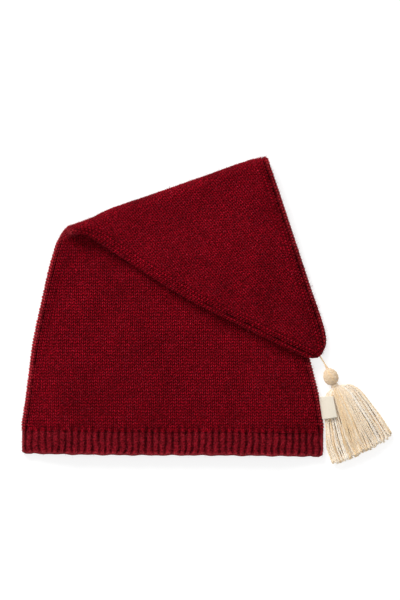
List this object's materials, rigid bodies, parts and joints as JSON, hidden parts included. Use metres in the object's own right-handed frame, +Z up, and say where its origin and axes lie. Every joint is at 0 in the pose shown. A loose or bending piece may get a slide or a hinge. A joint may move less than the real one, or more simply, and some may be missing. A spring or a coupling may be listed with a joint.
{
  "type": "knit stocking hat",
  "caption": "Child's long pointed knit hat, laid flat with its top folded over the front; rib hem, wool tassel on a thread from the point, and a small bare side label.",
  "frame": {"origin": "on the surface that the hat lies on, under the middle of the body, 80 mm above the hem's edge", "axes": "+X to the right as the front is seen from above with the hem nearest, +Y from the hem to the top, +Z up from the surface"},
  "size_m": [0.2813, 0.2329, 0.0208],
  "materials": {
    "red_knit": "fine plain knit in dark red wool with a faint lighter fleck and a soft fuzz",
    "red_rib": "one by one rib in the same dark red wool",
    "cream_wool": "soft cream wool yarn",
    "label_tape": "closely woven off-white tape, bare"
  },
  "bodies": {
    "root": {"back_panel": "red_knit", "front_panel": "red_knit", "rib_hem": "red_rib", "hanging_thread": "cream_wool", "tassel": "cream_wool", "neck_binding": "cream_wool", "side_label": "label_tape"}
  },
  "joints": []
}
